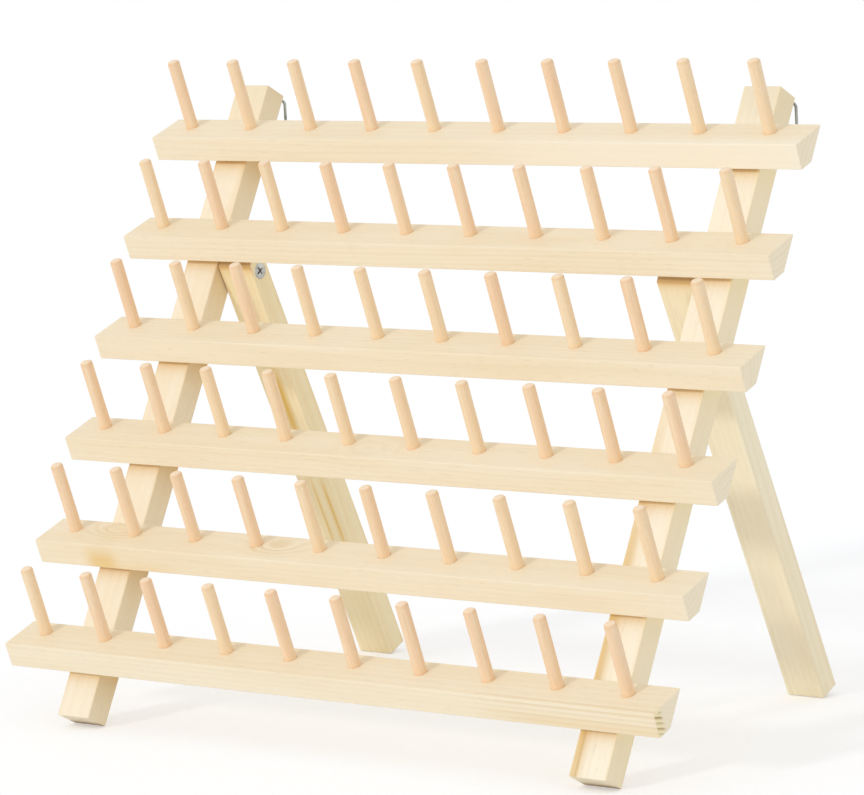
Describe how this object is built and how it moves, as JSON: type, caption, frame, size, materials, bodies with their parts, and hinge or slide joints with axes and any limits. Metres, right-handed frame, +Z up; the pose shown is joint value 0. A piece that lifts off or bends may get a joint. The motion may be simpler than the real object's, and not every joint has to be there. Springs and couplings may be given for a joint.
{
  "type": "thread rack",
  "caption": "Free-standing or wall-hung wooden rack whose rails of upright pegs hold spools of thread, with folding rear legs and hanging rings.",
  "frame": {"origin": "on the table, under the middle of the rack's box with its legs open", "axes": "+X along the rails to the right seen from the front, +Y to the back, +Z up"},
  "size_m": [0.4, 0.2272, 0.3235],
  "materials": {
    "rail_pine": "planed, unfinished pale pine",
    "upright_pine": "planed, unfinished pale pine",
    "leg_pine": "planed pine with strong yellow-brown grain",
    "peg_hardwood": "smooth turned hardwood dowel",
    "screw_zinc": "zinc-plated",
    "washer_zinc": "zinc-plated",
    "hanger_nickel": "nickel-plated, satin"
  },
  "bodies": {
    "frame": {"rail_1": "rail_pine", "rail_2": "rail_pine", "rail_3": "rail_pine", "rail_4": "rail_pine", "rail_5": "rail_pine", "rail_6": "rail_pine", "pegs_row_1": "peg_hardwood", "pegs_row_2": "peg_hardwood", "pegs_row_3": "peg_hardwood", "pegs_row_4": "peg_hardwood", "pegs_row_5": "peg_hardwood", "pegs_row_6": "peg_hardwood", "left_upright": "upright_pine", "left_pivot_screw": "screw_zinc", "left_pivot_washer": "washer_zinc", "left_rail_screws": "screw_zinc", "left_hanger_strap": "hanger_nickel", "left_hanger_screw": "hanger_nickel", "right_upright": "upright_pine", "right_pivot_screw": "screw_zinc", "right_pivot_washer": "washer_zinc", "right_rail_screws": "screw_zinc", "right_hanger_strap": "hanger_nickel", "right_hanger_screw": "hanger_nickel"},
    "left_leg": {"left_leg": "leg_pine"},
    "right_leg": {"right_leg": "leg_pine"},
    "left_ring": {"left_hanging_ring": "hanger_nickel"},
    "right_ring": {"right_hanging_ring": "hanger_nickel"}
  },
  "joints": [
    {"name": "left_leg_fold", "type": "hinge", "parent": "frame", "child": "left_leg", "pos_m": [-0.13405, 0.01355, 0.21638], "axis": [-1, 0, 0], "range_deg": [0, 52.8]},
    {"name": "right_leg_fold", "type": "hinge", "parent": "frame", "child": "right_leg", "pos_m": [0.13965, 0.01355, 0.21638], "axis": [-1, 0, 0], "range_deg": [0, 52.8]},
    {"name": "left_ring_swing", "type": "hinge", "parent": "frame", "child": "left_ring", "pos_m": [-0.1558, 0.06722, 0.29833], "axis": [1, 0, 0], "range_deg": [-20, 150]},
    {"name": "right_ring_swing", "type": "hinge", "parent": "frame", "child": "right_ring", "pos_m": [0.1614, 0.06722, 0.29833], "axis": [1, 0, 0], "range_deg": [-20, 150]}
  ]
}
